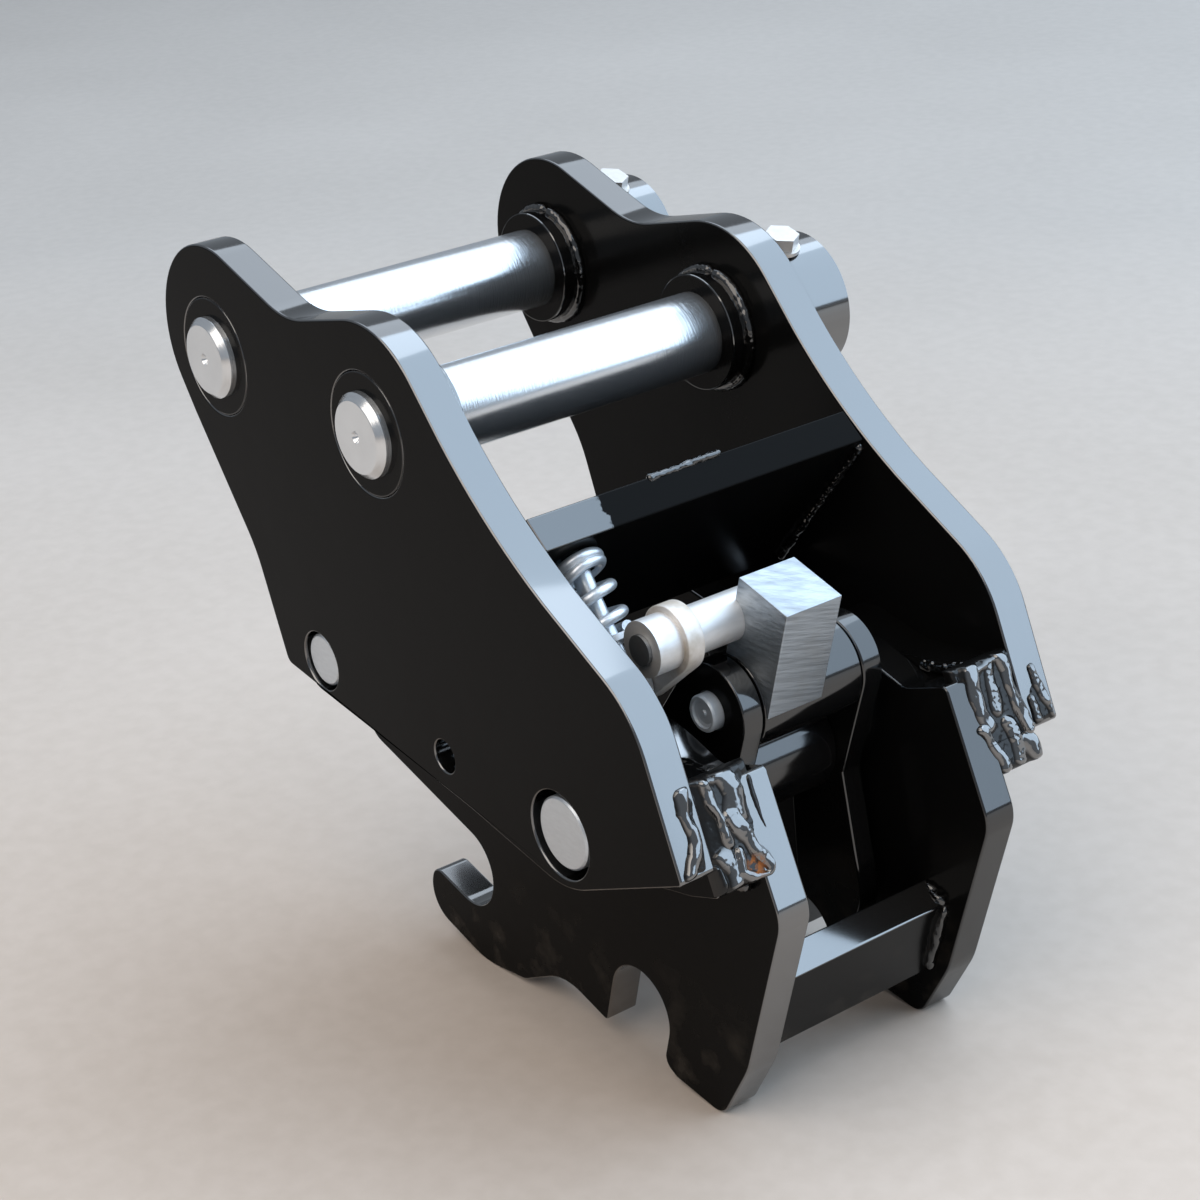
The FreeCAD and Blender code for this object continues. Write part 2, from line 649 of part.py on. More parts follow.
hook_centre = rounding_centre(hook_outline(), from_hook(HOOK_SOLE))
leg_centre = rounding_centre(hook_outline(), LEG_SOLE)
sole_line = leg_centre - hook_centre
stand_deg = math.degrees(
    math.atan2(sole_line.z, sole_line.x) - math.asin((LEG_SOLE[2] - HOOK_SOLE[2]) / sole_line.Length)
)


def stood(shape):
    """The shape turned about the pivot into the standing pose."""
    turned = shape.copy()
    turned.rotate(V(0, 0, 0), V(0, 1, 0), stand_deg)
    return turned


standing = {name: stood(shape) for name, shape in export.items()}
box = Part.makeCompound(list(standing.values())).BoundBox
lift = V(-(box.XMin + box.XMax) / 2, -(box.YMin + box.YMax) / 2, -box.ZMin)
os.makedirs("parts", exist_ok=True)
for name, shape in standing.items():
    shape.translate(lift)
    shape.exportStep("parts/" + name + ".step")
print("size", round(box.XLength, 1), round(box.YLength, 1), round(box.ZLength, 1))
print("stand", stand_deg, "lift", lift)
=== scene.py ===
# %% [markdown]
# # A quick hitch, from plain solids to painted steel
#
# A quick hitch hangs on the two pins of an excavator's arm and picks up buckets by theirs.
# The solids of this one are already made and moving. This lesson loads them, lays softened,
# turned and welded pieces over them, mixes their finishes and sets the light and camera.

import bpy
import bmesh
import json
import math
from mathutils import Matrix, Vector, noise


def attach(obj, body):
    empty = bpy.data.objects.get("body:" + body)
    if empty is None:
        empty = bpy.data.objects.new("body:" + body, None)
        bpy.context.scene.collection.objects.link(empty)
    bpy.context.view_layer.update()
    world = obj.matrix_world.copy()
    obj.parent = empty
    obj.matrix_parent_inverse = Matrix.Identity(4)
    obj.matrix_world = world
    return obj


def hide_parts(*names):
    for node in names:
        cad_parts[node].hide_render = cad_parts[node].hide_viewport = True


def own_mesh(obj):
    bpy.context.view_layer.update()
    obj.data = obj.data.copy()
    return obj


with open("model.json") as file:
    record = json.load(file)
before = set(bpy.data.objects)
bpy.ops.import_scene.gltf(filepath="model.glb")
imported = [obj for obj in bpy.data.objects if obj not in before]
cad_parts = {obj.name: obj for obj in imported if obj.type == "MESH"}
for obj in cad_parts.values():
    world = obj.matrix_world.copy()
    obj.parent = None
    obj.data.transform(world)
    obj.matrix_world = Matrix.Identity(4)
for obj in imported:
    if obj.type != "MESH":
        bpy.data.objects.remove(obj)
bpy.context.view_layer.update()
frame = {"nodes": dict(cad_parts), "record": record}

# %% [markdown]
# The side plates are drawn level, but the hitch stands on its hooks and legs, so it leans.
# One matrix carries points of the level drawing, in millimetres, to where they stand.
# Every place below can then be read off the plates, with the latch pivot at 0, 0.

# %% The hitch's own frame
LEAN = math.radians(17.0025)
PIVOT_STANDS_AT = Vector((90.033, -14.5, 119.789))
STANDING = Matrix.Translation(PIVOT_STANDS_AT / 1000) @ Matrix.Rotation(LEAN, 4, "Y")


def at(x, y, z):
    """A point of the level drawing, in millimetres, where it stands on the floor."""
    return STANDING @ (Vector((x, y, z)) / 1000)


def way(x, y, z):
    """A direction of the level drawing, as it stands; millimetres become metres."""
    return at(x, y, z) - at(0, 0, 0)


def level_way(angle_deg):
    """A direction in the plane of the plates, one metre long, at an angle above level."""
    angle = math.radians(angle_deg)
    return way(math.cos(angle), 0, math.sin(angle)).normalized()


ACROSS = Vector((0, 1, 0))
ARM_AXIS = (-255.63, 69.16)
LINK_AXIS = (-142.3, 97.0)
TIE_AXIS = (-164.8, -30.6)
EAR_AXIS = (8.0, 42.0)
SIDE_OUTER = 95.0
SIDE_INNER = 79.0
HOOK_INNER = 45.0
print("the latch pivot stands at", [round(v, 4) for v in at(0, 0, 0)])

# %% [markdown]
# Finishes are mixed from shader nodes. Writing each node by hand hides the sums, so a small
# class wraps a socket and lets Python's own operators add the Math nodes. A recipe holds one
# material's node tree, and its `node` method adds any other kind of node.


# %% Shader sums written as Python
class Wire:
    """A number in a shader, on which Python's operators add Math nodes."""

    def __init__(self, tree, socket):
        self.tree = tree
        self.socket = socket

    def sum(self, operation, *values):
        """A Math node with these values or wires on its sockets."""
        node = self.tree.nodes.new("ShaderNodeMath")
        node.operation = operation
        for socket, value in zip(node.inputs, values):
            if isinstance(value, Wire):
                self.tree.links.new(value.socket, socket)
            else:
                socket.default_value = value
        return Wire(self.tree, node.outputs[0])

    def __add__(self, other):
        return self.sum("ADD", self, other)

    def __sub__(self, other):
        return self.sum("SUBTRACT", self, other)

    def __rsub__(self, other):
        return self.sum("SUBTRACT", other, self)

    def __mul__(self, other):
        return self.sum("MULTIPLY", self, other)

    __radd__ = __add__
    __rmul__ = __mul__

    def ramp(self, low, high):
        """0 below low, 1 above high, and even in between."""
        node = self.tree.nodes.new("ShaderNodeMapRange")
        node.inputs["From Min"].default_value = low
        node.inputs["From Max"].default_value = high
        self.tree.links.new(self.socket, node.inputs["Value"])
        return Wire(self.tree, node.outputs["Result"])


class Recipe:
    """One material: its tree, its main shader and the nodes added to it."""

    def __init__(self, name):
        self.material = bpy.data.materials.new(name)
        self.material.use_nodes = True
        self.slot = name
        self.tree = self.material.node_tree
        self.shader = self.tree.nodes["Principled BSDF"]
        coordinates = self.node("ShaderNodeTexCoord")
        self.place = coordinates["Object"]
        self.facing = coordinates["Normal"]

    def node(self, kind, settings=None, **inputs):
        """Adds a node, sets it up, feeds its sockets and hands back its outputs by name."""
        node = self.tree.nodes.new(kind)
        for key, value in (settings or {}).items():
            setattr(node, key, value)
        for key, value in inputs.items():
            self.feed(node.inputs[key.replace("_", " ")], value)
        return {socket.name: Wire(self.tree, socket) for socket in node.outputs}

    def feed(self, socket, value):
        """Links a wire to a socket, or sets a plain value on it."""
        if isinstance(value, Wire):
            self.tree.links.new(value.socket, socket)
        else:
            socket.default_value = value

    def noise(self, scale, detail):
        """Cloudy noise over the piece, from 0 to 1."""
        cloudy = self.node("ShaderNodeTexNoise", None, Vector=self.place, Scale=scale, Detail=detail)
        return cloudy["Fac"]

    def blend(self, mask, low, high):
        """A colour that goes from low to high as the mask goes from 0 to 1."""
        node = self.tree.nodes.new("ShaderNodeMix")
        node.data_type = "RGBA"
        self.feed(node.inputs["Factor"], mask)
        self.feed(node.inputs["A"], low)
        self.feed(node.inputs["B"], high)
        return Wire(self.tree, node.outputs["Result"])

    def axis(self, name):
        """One coordinate of the place, in metres."""
        return self.node("ShaderNodeSeparateXYZ", None, Vector=self.place)[name]

    def measured(self, operation, wire, fixed):
        """A Vector Math node between a wire and a fixed vector, which gives one number."""
        outputs = self.node("ShaderNodeVectorMath", {"operation": operation}, Vector=wire)
        outputs["Value"].socket.node.inputs[1].default_value = fixed
        return outputs["Value"]

    def bump(self, height, strength, depth):
        """Feeds a height into the shader's normal."""
        bumped = self.node("ShaderNodeBump", None, Height=height, Strength=strength, Distance=depth)
        self.feed(self.shader.inputs["Normal"], bumped["Normal"])

    def finish(self, **inputs):
        """Sets the main shader's sockets."""
        for key, value in inputs.items():
            self.feed(self.shader.inputs[key.replace("_", " ")], value)
        return self


def grey(value, warm=0.0):
    """A near-grey colour, a little warmer or cooler."""
    return (value * (1 + warm), value, value * (1 - warm), 1.0)


print("ready to mix finishes")

# %% [markdown]
# The frame is dipped or sprayed in glossy black enamel, thick enough to run. It is nearly
# black face on and a mirror at a shallow angle. Fine orange peel breaks the mirror up, and a
# film of pale dust dulls the lower edges. Dust could be painted on a map, but a height and a
# noise do it everywhere.


# %% Black enamel
COAT_IOR = 2.7
BLACK = grey(0.0040, 0.02)
DUST = grey(0.12, 0.20)


def black_enamel(name, face_way, shade_from=0.2, gloss=1.0, shine=0.04):
    """Glossy black paint, leaner on faces turned one way, and with its coat taken off past a Y, in
    metres, as painted shade.
    """
    mix = Recipe(name)
    mix.slot = "black_enamel"
    low = 1 - mix.axis("Z").ramp(0.0, 0.06)
    patches = mix.noise(70.0, 5.0).ramp(0.50, 0.78)
    dust = low * patches * 0.35
    turned_to = mix.measured("DOT_PRODUCT", mix.facing, face_way)
    rolled = turned_to.sum("ABSOLUTE", turned_to).ramp(0.80, 0.97)
    # Painted shade: past the given Y the coat comes off along a ragged line, so that part of the
    # paint stays dark.
    ragged = mix.axis("Y") + mix.noise(260.0, 4.0) * 0.008
    shade_past_y = ragged.ramp(shade_from, shade_from + 0.0008)
    peel = mix.noise(420.0, 2.0)
    waves = mix.noise(30.0, 2.0)
    mix.bump(peel * 0.06 + waves * 0.6, 0.25, 0.0009)
    return mix.finish(
        Base_Color=mix.blend(dust, BLACK, DUST),
        Roughness=waves * 0.04 + 0.05 + dust * 0.8 + rolled * 0.10,
        Specular_IOR_Level=shine,
        Coat_Weight=(1 - rolled * 0.992 - dust - shade_past_y) * gloss,
        Coat_IOR=COAT_IOR,
        Coat_Roughness=0.10,
    )


enamel = black_enamel("black_enamel", ACROSS)
# Past Y -0.058 m this plate's top loses its coat: painted shade keeps the far part of its top dark.
front_cross_enamel = black_enamel("front_cross_enamel", level_way(157.0), -0.058, 0.62)
rear_cross_enamel = black_enamel("rear_cross_enamel", level_way(0.0), shine=0.14)
hub_enamel = black_enamel("hub_enamel", ACROSS, gloss=0.4)
print("mixed four cuts of enamel")

# %% [markdown]
# Weld metal under the same paint is lumpy and shines in every direction. Where the paint
# skipped a crater it has rusted brown.


# %% Painted weld
SLOPE_TOP = Vector((50.6, 0.0, 51.5))
SLOPE_DOWN = Vector((0.628, 0.0, -0.778))
SLOPE_OUT = Vector((0.778, 0.0, 0.628))
CRATER = SLOPE_TOP + SLOPE_DOWN * 32.5
WELD_BLACK = grey(0.004, 0.05)
RUST = (0.36, 0.13, 0.04, 1)


def painted_weld(name, shades_crevices, gloss):
    """Enamel over weld metal, rusty in one crater and, where asked, with painted shade in the
    crevices.
    """
    mix = Recipe(name)
    mix.slot = "black_enamel"
    lumps = mix.noise(110.0, 2.0)
    from_crater = mix.measured("DISTANCE", mix.place, at(CRATER.x, -62.5, CRATER.z))
    rust = (1 - from_crater.ramp(0.0020, 0.0055)) * mix.noise(300.0, 3.0).ramp(0.40, 0.50)
    # Painted shade: below the slope's level, where no pass stands, the coat is taken off and the
    # roughness raised, so the crevices stay dark.
    out = way(*SLOPE_OUT).normalized()
    level = at(*SLOPE_TOP).dot(out)
    height = mix.measured("DOT_PRODUCT", mix.place, out)
    crevice_shade = (1 - height.ramp(level + 0.0005, level + 0.0013)) * (0.9 if shades_crevices else 0.0)
    mix.bump(lumps, 0.25, 0.0010)
    return mix.finish(
        Base_Color=mix.blend(rust, WELD_BLACK, RUST),
        Roughness=rust * 0.5 + crevice_shade * 0.3 + 0.07,
        Specular_IOR_Level=0.2,
        Coat_Weight=(1 - rust) * (1 - crevice_shade) * gloss,
        Coat_IOR=COAT_IOR,
        Coat_Roughness=0.08,
    )


weld_paint = painted_weld("painted_weld", False, 0.45)
slope_paint = painted_weld("painted_slope_weld", True, 1.0)
print("mixed two weld paints")

# %% [markdown]
# Bare steel comes in several cuts here: ground carrying pins, satin pin ends, the sawn lever
# block, a wire spring and plated bolts. One recipe with a few numbers covers them, because
# they differ only in tone, polish and the grain that the tool left.


# %% Bare steels
def bare_steel(
    name, tone, polish, grain, warm=-0.02, stain=0.0, marks=0.12, slant=0.0, metal=0.85, slot=None
):
    """Metal with tool grain along one direction and faint stains."""
    mix = Recipe(name)
    mix.slot = slot or name
    tilt = (math.radians(slant), 0, 0)
    tilted = mix.node("ShaderNodeMapping", None, Vector=mix.place, Rotation=tilt)["Vector"]
    stretched = mix.node("ShaderNodeMapping", None, Vector=tilted, Scale=grain)["Vector"]
    lines = mix.node("ShaderNodeTexNoise", None, Vector=stretched, Scale=1.0, Detail=4.0)["Fac"]
    cloud = mix.noise(70.0, 4.0)
    spots = cloud.ramp(0.50, 0.70) * stain
    mix.bump(lines, marks, 0.0005)
    scored = mix.blend(lines.ramp(0.35, 0.65) * marks, grey(tone, warm), grey(tone * 0.55, warm))
    return mix.finish(
        Base_Color=mix.blend(spots, scored, (tone * 0.50, tone * 0.38, tone * 0.22, 1)),
        Metallic=metal,
        Roughness=lines * 0.10 + cloud * 0.08 + spots * 0.3 + polish,
    )


RINGS_ALONG = (90.0, 1400.0, 90.0)
TURNED_END = (300.0, 60.0, 900.0)
SAWN_FACE = (160.0, 45.0, 650.0)
ground_steel = bare_steel("ground_pin_steel", 0.79, 0.12, RINGS_ALONG, -0.03, metal=0.9)
satin_steel = bare_steel("satin_pin_steel", 0.68, 0.26, TURNED_END, -0.06)
rim_steel = bare_steel(
    "rim_steel", 0.82, 0.34, TURNED_END, -0.07, metal=0.4, slot="satin_pin_steel"
)
dark_steel = bare_steel("dark_pin_steel", 0.34, 0.22, TURNED_END, -0.08, 0.3)
sawn_steel = bare_steel("bright_steel", 0.50, 0.30, SAWN_FACE, -0.10, 0.12, 0.55, 16.0, 0.92)
shaft_steel = bare_steel(
    "shaft_steel", 0.85, 0.36, (160.0, 160.0, 500.0), -0.01, 0.25, metal=0.7, slot="bright_steel"
)
stained_steel = bare_steel(
    "stained_steel", 0.78, 0.38, (200.0, 200.0, 200.0), 0.05, 0.6, metal=0.6, slot="bright_steel"
)
wire_steel = bare_steel("spring_steel", 0.82, 0.24, (700.0, 700.0, 700.0), -0.06, 0.1, metal=0.7)
plated_steel = bare_steel("fastener_steel", 0.70, 0.24, (500.0, 500.0, 500.0), 0.03, 0.3)
print("mixed nine bare steels")

# %% [markdown]
# Every piece ends the same way: its normals point outwards, flat faces stay flat, it takes a
# finish, rides on a moving body and stands in for the solid that it covers.


# %% Finishing a piece
def finished(name, shell, body, recipe, crease, nodes=()):
    """Makes an object of a bmesh, dresses it and ties it to its body."""
    bmesh.ops.recalc_face_normals(shell, faces=shell.faces[:])
    mesh = bpy.data.meshes.new(name)
    shell.to_mesh(mesh)
    shell.free()
    mesh.shade_smooth()
    mesh.set_sharp_from_angle(angle=math.radians(crease))
    mesh.materials.append(recipe.material)
    piece = bpy.data.objects.new(name, mesh)
    bpy.context.collection.objects.link(piece)
    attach(piece, body)
    if nodes:
        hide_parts(*nodes)
    return piece


body_of_node = {}
for body_name, node_names in frame["record"]["behaviour"]["bodies"].items():
    for node_name in node_names:
        body_of_node[node_name] = body_name
print("bodies of", len(body_of_node), "nodes known")

# %% [markdown]
# Flame-cut plate has no razor edge: grinding and thick paint round it, and those round edges
# carry nearly all the light on black steel. The solid is copied, its triangles are merged
# back into faces, and every sharp edge gets a small bevel. The spacers are first cut back
# under the welds, and the rear cross plate's front edge is raised, so that its top leans
# to the rear.


# %% Plates with softened edges
SHARP = math.radians(32.0)
FLAT = math.radians(1.0)
SAME_CORNER = 1e-6


def softened(node, width, recipe, trimmed=False, raised=0.0):
    """A copy of a solid with rounded edges, trimmed to the slope or raised at its front edge."""
    shell = bmesh.new()
    shell.from_mesh(frame["nodes"][node].data)
    bmesh.ops.remove_doubles(shell, verts=shell.verts[:], dist=2e-6)
    if raised:
        up_front = way(-1, 0, 1)
        highest = max(vert.co.dot(up_front) for vert in shell.verts)
        for vert in shell.verts:
            if vert.co.dot(up_front) > highest - SAME_CORNER:
                vert.co += way(0, 0, 1) * raised
    if trimmed:
        cut = bmesh.ops.bisect_plane(
            shell,
            geom=shell.verts[:] + shell.edges[:] + shell.faces[:],
            plane_co=at(*(SLOPE_TOP - SLOPE_OUT)),
            plane_no=way(*SLOPE_OUT),
            clear_outer=True,
        )
        rim = [item for item in cut["geom_cut"] if isinstance(item, bmesh.types.BMEdge)]
        bmesh.ops.edgenet_fill(shell, edges=rim)
    bmesh.ops.dissolve_limit(shell, angle_limit=FLAT, verts=shell.verts[:], edges=shell.edges[:])
    sharp = [e for e in shell.edges if e.is_manifold and e.calc_face_angle() > SHARP]
    bmesh.ops.bevel(
        shell,
        geom=sharp,
        offset=width / 1000,
        offset_type="OFFSET",
        affect="EDGES",
        segments=3,
        profile=0.5,
        material=-1,
        clamp_overlap=True,
    )
    piece = finished(node + "_soft", shell, body_of_node[node], recipe, crease=40.0, nodes=[node])
    piece.modifiers.new("flat faces stay flat", "WEIGHTED_NORMAL").keep_sharp = True
    return piece


PLATE_EDGE = 1.0
SMALL_EDGE = 0.6
CROSS_RAISED = 3.5
plates = {
    "side_plate_near": enamel,
    "side_plate_far": enamel,
    "hook_plate_near": enamel,
    "hook_plate_far": hub_enamel,
    "spacer_near": enamel,
    "spacer_far": enamel,
    "front_cross_plate": front_cross_enamel,
    "rear_cross_plate": rear_cross_enamel,
    "latch_plate_near": hub_enamel,
    "latch_plate_far": hub_enamel,
    "crank_arm": stained_steel,
    "tie_spacer_near": enamel,
    "tie_spacer_far": enamel,
}
for node, recipe in plates.items():
    width = PLATE_EDGE if "plate" in node else SMALL_EDGE
    trimmed = node.startswith("spacer")
    raised = CROSS_RAISED if node == "rear_cross_plate" else 0.0
    softened(node, width, recipe, trimmed, raised)
softened("lever_block", PLATE_EDGE, sawn_steel)
print("softened", len(plates) + 1, "solids")

# %% [markdown]
# Pins, bushes and bosses are turned on a lathe, so they are made the same way: half an
# outline spun about an axis. The outline is given as (radius, distance along) pairs.


# %% Turned pieces
def turned(name, foot, along, outline, body, recipe, nodes=(), steps=96, ring=False):
    """Spins an outline in millimetres about a line that starts at foot."""
    shell = bmesh.new()
    corners = [shell.verts.new((r / 1000, 0, t / 1000)) for r, t in outline]
    edges = [shell.edges.new(pair) for pair in zip(corners, corners[1:])]
    if ring:
        edges.append(shell.edges.new((corners[-1], corners[0])))
    bmesh.ops.spin(
        shell,
        geom=corners + edges,
        cent=(0, 0, 0),
        axis=(0, 0, 1),
        angle=2 * math.pi,
        steps=steps,
        use_merge=True,
    )
    bmesh.ops.remove_doubles(shell, verts=shell.verts[:], dist=1e-6)
    turn = along.to_track_quat("Z", "Y").to_matrix().to_4x4()
    bmesh.ops.transform(shell, matrix=Matrix.Translation(foot) @ turn, verts=shell.verts[:])
    return finished(name, shell, body, recipe, crease=20.0, nodes=nodes)


def bar_outline(radius, length, chamfer, drill=0.0):
    """A round bar with bevelled rims and, if asked, a centre drilling at its start."""
    if drill:
        start = [(0, drill * 1.2), (drill * 0.45, drill * 0.9), (drill, 0)]
    else:
        start = [(0, 0)]
    soft = 0.3
    rim = [
        (radius - chamfer - soft, 0),
        (radius - chamfer, soft * 0.4),
        (radius - soft * 0.3, chamfer),
        (radius, chamfer + soft),
    ]
    return start + rim + [(r, length - t) for r, t in reversed(rim)] + [(0, length)]


def tube_outline(inner, outer, length, soft=0.6):
    """The wall of a ring with rounded outer rims."""
    return [
        (inner, 0),
        (outer - soft, 0),
        (outer - soft * 0.3, soft * 0.3),
        (outer, soft),
        (outer, length - soft),
        (outer - soft * 0.3, length - soft * 0.3),
        (outer - soft, length),
        (inner, length),
    ]


def dished_outline(radius, length):
    """A bar whose ends are turned hollow inside a bright rim."""
    end = [
        (0, 0.8),
        (1.1, 0.7),
        (1.5, 1.5),
        (radius * 0.60, 1.7),
        (radius * 0.72, 1.1),
        (radius * 0.78, 0.15),
        (radius * 0.92, 0),
        (radius, 0.8),
    ]
    return end + [(r, length - t) for r, t in reversed(end)]


CARRY_PIN_R = 17.5
CARRY_BORE_R = 17.55
PIN_PROUD = 5.0
for name, axis in (("arm", ARM_AXIS), ("link", LINK_AXIS)):
    x, z = axis
    turned(
        name + "_pin_ground",
        at(x, -SIDE_OUTER - PIN_PROUD, z),
        ACROSS,
        bar_outline(CARRY_PIN_R, 228, 2.6, 2.6),
        "frame",
        ground_steel,
        [name + "_pin"],
    )
    turned(
        name + "_bush_turned",
        at(x, -SIDE_OUTER, z),
        ACROSS,
        tube_outline(CARRY_BORE_R, 25.3, 30),
        "frame",
        enamel,
        [name + "_bush_near"],
        ring=True,
    )
    turned(
        name + "_inner_boss_turned",
        at(x, SIDE_INNER - 10, z),
        ACROSS,
        tube_outline(CARRY_BORE_R, 25, 10),
        "frame",
        enamel,
        [name + "_boss_inner"],
        ring=True,
    )
print("turned the carrying pins and their rings")

# %% The other round pieces
FRAME_PIN_END = -93.5
FRAME_PIN_LENGTH = 187
for name, axis, radius, node in (
    ("pivot_pin_turned", (0, 0), 15, "latch_pivot_pin"),
    ("tie_pin_turned", TIE_AXIS, 11.4, "tie_pin"),
):
    foot = at(axis[0], FRAME_PIN_END, axis[1])
    outline = bar_outline(radius, FRAME_PIN_LENGTH, 0.8)
    turned(name, foot, ACROSS, outline, "frame", satin_steel, [node])
ear_x, ear_z = EAR_AXIS
ear_foot = at(ear_x, -39.5, ear_z)
turned("ear_pin_turned", ear_foot, ACROSS, dished_outline(7.5, 79), "latch", rim_steel, ["ear_pin"])
latch_hub = tube_outline(15.1, 22, 50)
lever_hub = tube_outline(7.6, 19.5, 49)
for name, foot, outline, body, node in (
    ("latch_hub_turned", at(0, -25, 0), latch_hub, "latch", "latch_hub"),
    ("lever_hub_turned", at(ear_x, -24.5, ear_z), lever_hub, "lever", "lever_hub"),
):
    turned(name, foot, ACROSS, outline, body, hub_enamel, [node], ring=True)
print("turned the pins and hubs of the latch")

# %% [markdown]
# The spring is one round wire wound around the rod. Its end turns lie closed on the cup and
# flat on the cross plate, which isn't square to the rod, so a plain helix would not do. The
# wire's rise is given turn by turn, and its last turn is leaned to the plate. As the latch
# opens, the cup comes up by about 6 mm, and the spring is flattened by about as much.


# %% Spring
ROD_EYE = at(-13.0, -59.5, 49.3)
ROD_WAY = level_way(141.5)
GUIDE_ALONG = 0.0455
RISE = (
    (-0.95, 20.8),
    (-0.25, 24.0),
    (0.0, 26.6),
    (1.0, 37.4),
    (1.8, 45.0),
    (2.2, 47.0),
    (3.2, 48.4),
)


def rise(turn):
    """How far along the rod the wire's middle lies at a turn, in millimetres."""
    for (t0, r0), (t1, r1) in zip(RISE, RISE[1:]):
        if turn <= t1:
            return r0 + (r1 - r0) * (turn - t0) / (t1 - t0)
    return RISE[-1][1]


def wound_spring(name, coil_r, wire_r, body, steps_per_turn=48, rim=14):
    """A wire wound around the rod, its last turn leaned to the cross plate."""
    down = ACROSS.cross(ROD_WAY)
    steps = int((RISE[-1][0] - RISE[0][0]) * steps_per_turn)
    shell = bmesh.new()
    rings = []
    for i in range(steps + 1):
        turn = RISE[0][0] + i / steps_per_turn
        angle = math.radians(330.0 + 360.0 * turn)
        out = ACROSS * math.cos(angle) - down * math.sin(angle)
        lean = 2.7 * math.sin(-angle) * min(max(turn - 1.0, 0.0), 1.0)
        middle = ROD_EYE + (out * coil_r + ROD_WAY * (rise(turn) + lean)) / 1000
        ring = []
        for k in range(rim):
            around = 2 * math.pi * k / rim
            skin = out * math.cos(around) + ROD_WAY * math.sin(around)
            ring.append(shell.verts.new(middle + skin * wire_r / 1000))
        rings.append(ring)
    for a, b in zip(rings, rings[1:]):
        for k in range(rim):
            shell.faces.new((a[k - 1], a[k], b[k], b[k - 1]))
    shell.faces.new(rings[0])
    shell.faces.new(rings[-1])
    return finished(name, shell, body, wire_steel, crease=60.0, nodes=["latch_spring"])


spring = wound_spring("latch_spring_wound", coil_r=9.7, wire_r=2.3, body="rod")
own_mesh(spring)
guide_foot = ROD_EYE + ROD_WAY * GUIDE_ALONG
guide = tube_outline(6.5, 7.0, 3.5, 0.2)
turned("spring_guide", guide_foot, ROD_WAY, guide, "frame", enamel, ["spring_seat"], ring=True)
print("wound the spring")

# %% [markdown]
# A weld bead is a row of overlapping puddles. It could be painted as bump, but these beads
# stand millimetres proud and catch the sky, so they are shaped: a grid is rolled into a tube
# along the seam and tapered to nothing at both ends. Voronoi cells, stretched along the seam,
# swell it into smooth runs with sharp creases between them, as thick paint over welds has.


# %% Weld beads
def smoothed(shell, verts):
    """Moves each vertex halfway to the middle of its neighbours."""
    bmesh.ops.smooth_vert(
        shell, verts=verts, factor=0.5, use_axis_x=True, use_axis_y=True, use_axis_z=True
    )


def along_path(path, share):
    """A point and its heading at a share of the way along a line of points."""
    lengths = [(b - a).length for a, b in zip(path, path[1:])]
    left = share * sum(lengths)
    for start, end, length in zip(path, path[1:], lengths):
        if left <= length:
            return start.lerp(end, left / length), (end - start).normalized()
        left -= length
    return path[-1], (path[-1] - path[-2]).normalized()


def weld(
    name, path, width, height, lumps=0.35, grain=4.0, stretch=2.0, flat=0.7, seed=0.0, side=ACROSS
):
    """A bead along points in millimetres; width lies along side, height stands out of it."""
    path = [at(*point) for point in path]
    total = sum((b - a).length for a, b in zip(path, path[1:])) * 1000
    around = max(16, int(3.0 * (width + height) / 0.8))
    shell = bmesh.new()
    bmesh.ops.create_grid(shell, x_segments=max(12, int(total / 0.6)), y_segments=around, size=0.5)
    for vert in shell.verts:
        share = min(max(vert.co.x + 0.5, 0.0), 1.0)
        angle = (vert.co.y + 0.5) * 2 * math.pi
        middle, heading = along_path(path, share)
        wide = (side - heading * side.dot(heading)).normalized()
        high = heading.cross(wide).normalized()
        reach = share * total
        taper = min(1.0, math.sqrt(min(reach, total - reach) / (0.8 * min(width, 6.0)) + 1e-9))
        x = width * math.copysign(abs(math.cos(angle)) ** flat, math.cos(angle))
        z = height * math.copysign(abs(math.sin(angle)) ** flat, math.sin(angle))
        sway = noise.noise(Vector((reach / 9.0, seed, 0.0))) * 1.4
        cell = Vector((reach / stretch, x + sway, z * 0.6)) / grain + Vector((seed, seed, 0))
        nearest, second = noise.voronoi(cell)[0][:2]
        crease = min(1.0, (second - nearest) * 3.0)
        hump = noise.noise(cell * 0.6)
        swell = taper * (1 + lumps * (crease * (2 - crease) - 0.7) + lumps * hump)
        vert.co = middle + (wide * x + high * z) * swell / 1000
    bmesh.ops.remove_doubles(shell, verts=shell.verts[:], dist=2e-5)
    smoothed(shell, shell.verts[:])
    return finished(name, shell, "frame", weld_paint, crease=80.0)


def ring_path(axis, y, radius, start_deg, steps=36):
    """Points around a pin, in the plane of a plate."""
    path = []
    for i in range(steps + 1):
        angle = math.radians(start_deg + 360.0 * i / steps)
        path.append((axis[0] + radius * math.cos(angle), y, axis[1] + radius * math.sin(angle)))
    return path


def ring_weld(name, path, width, height, seed):
    """A fine, even bead round a boss or a bush."""
    weld(name, path, width, height, lumps=0.14, grain=2.6, stretch=1.0, flat=1.0, seed=seed)


for name, axis in (("arm", ARM_AXIS), ("link", LINK_AXIS)):
    inside = ring_path(axis, SIDE_INNER - 1, 25.4, 100)
    around_bush = ring_path(axis, 1 - SIDE_INNER, 25.4, 100)
    outside = ring_path(axis, SIDE_OUTER + 1, 30.2, 80)
    ring_weld(name + "_boss_weld", inside, 2.6, 2.4, axis[0])
    ring_weld(name + "_bush_weld", around_bush, 2.4, 2.2, axis[1])
    ring_weld(name + "_outer_boss_weld", outside, 2.6, 2.4, axis[1] + 3)
print("welded the bosses")

